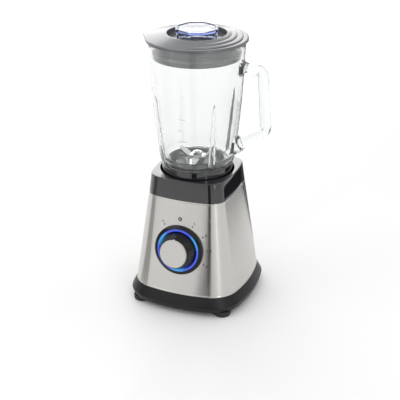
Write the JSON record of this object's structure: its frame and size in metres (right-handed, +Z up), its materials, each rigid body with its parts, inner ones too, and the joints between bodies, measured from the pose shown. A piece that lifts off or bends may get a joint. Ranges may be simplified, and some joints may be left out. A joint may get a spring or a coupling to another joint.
{
  "type": "countertop blender",
  "caption": "Countertop blender with a clear glass jug and handle, domed lid with filler cap, tapered steel base, lit speed knob and a rotor-driven blade unit.",
  "frame": {"origin": "on the table, under the common axis of the jug and the motor", "axes": "+Z up along the motor shaft, -Y towards the speed knob, +X towards the jug's handle"},
  "size_m": [0.1975, 0.185, 0.4],
  "materials": {
    "brushed_steel": "horizontally brushed stainless sheet",
    "gloss_charcoal": "high gloss moulding",
    "satin_black": "satin moulding",
    "black_plastic": "fine moulded texture",
    "black_rubber": "matt rubber",
    "zinc_steel": "zinc plated",
    "capacitor_case": "yellow moulded case",
    "ring_diffuser": "translucent, lit blue",
    "blue_led": "lit blue",
    "circuit_board": "solder mask",
    "knob_black": "satin moulding",
    "knob_steel": "satin brushed disc",
    "white_plastic": "plain moulding",
    "spring_steel": "drawn wire",
    "die_cast": "as cast",
    "bronze": "sintered",
    "laminations": "stacked sheet",
    "copper_wire": "enamelled winding",
    "shaft_steel": "ground",
    "copper_bars": "turned copper",
    "carbon": "pressed carbon",
    "brush_brass": "stamped",
    "clear_glass": "polished pressed glass",
    "clear_rubber": "silicone",
    "carrier_plastic": "smooth moulding",
    "blade_steel": "polished stainless",
    "grey_plastic": "satin moulding",
    "grey_rubber": "silicone",
    "clear_plastic": "clear, faintly blue moulding"
  },
  "bodies": {
    "base": {"steel_shroud": "brushed_steel", "top_housing": "gloss_charcoal", "base_plinth": "satin_black", "bottom_cover": "black_plastic", "rubber_feet": "black_rubber", "long_screws": "zinc_steel", "cover_screws": "zinc_steel", "cord_gland": "black_rubber", "cord_clamp": "black_plastic", "clamp_screws": "zinc_steel", "suppression_capacitor": "capacitor_case", "knob_bezel": "gloss_charcoal", "light_ring": "ring_diffuser", "ring_leds": "blue_led", "led_board": "circuit_board", "switch_body": "black_plastic", "switch_nut": "zinc_steel", "seat_pads": "black_rubber", "shaft_seal": "black_rubber", "interlock_switch": "black_plastic", "interlock_spring": "spring_steel", "motor_mounts": "black_rubber", "mount_screws": "zinc_steel", "upper_bracket": "die_cast", "lower_bracket": "die_cast", "motor_bolts": "zinc_steel", "upper_bearing": "bronze", "lower_bearing": "bronze", "stator_core": "laminations", "field_coils": "copper_wire", "fan_shroud": "black_plastic", "carbon_brushes": "carbon", "brush_holders": "brush_brass", "brush_springs": "spring_steel"},
    "rotor": {"motor_shaft": "shaft_steel", "armature_core": "laminations", "armature_windings": "copper_wire", "commutator": "copper_bars", "cooling_fan": "white_plastic", "drive_dog": "black_plastic"},
    "speed_knob": {"knob_body": "knob_black", "knob_cap": "knob_steel", "switch_spindle": "zinc_steel"},
    "interlock": {"interlock_pin": "white_plastic"},
    "jug": {"glass_jug": "clear_glass", "jug_collar": "gloss_charcoal", "jug_gasket": "clear_rubber", "blade_carrier": "carrier_plastic", "carrier_bushes": "bronze", "carrier_seal": "black_rubber"},
    "blade_unit": {"blade_shaft": "shaft_steel", "upper_blade": "blade_steel", "lower_blade": "blade_steel", "blade_spacers": "blade_steel", "blade_nut": "blade_steel", "jug_drive_dog": "black_plastic"},
    "lid": {"lid": "grey_plastic", "lid_gasket": "grey_rubber"},
    "filler_cap": {"filler_cap": "clear_plastic"}
  },
  "joints": [
    {"name": "knob_turn", "type": "hinge", "parent": "base", "child": "speed_knob", "pos_m": [0, -0.07214, 0.09607], "axis": [0, 0.989, -0.1476], "range_deg": [-35, 116]},
    {"name": "jug_lift", "type": "slide", "parent": "base", "child": "jug", "axis": [0, 0, 1], "range_m": [0, 0.1]},
    {"name": "lid_lift", "type": "slide", "parent": "jug", "child": "lid", "axis": [0, 0, 1], "range_m": [0, 0.06]},
    {"name": "cap_lift", "type": "slide", "parent": "lid", "child": "filler_cap", "axis": [0, 0, 1], "range_m": [0, 0.05]},
    {"name": "motor_spin", "type": "hinge", "parent": "base", "child": "rotor", "pos_m": [0, 0, 0.112], "axis": [0, 0, 1], "continuous": true},
    {"name": "blade_spin", "type": "hinge", "parent": "jug", "child": "blade_unit", "pos_m": [0, 0, 0.2], "axis": [0, 0, 1], "continuous": true},
    {"name": "interlock_rise", "type": "slide", "parent": "base", "child": "interlock", "axis": [0, 0, 1], "range_m": [0, 0.003], "deforming": ["interlock_spring"]}
  ],
  "couplings": [
    {"joint": "blade_spin", "follows": "motor_spin", "ratio": 1},
    {"joint": "interlock_rise", "follows": "jug_lift", "ratio": 0.03}
  ]
}
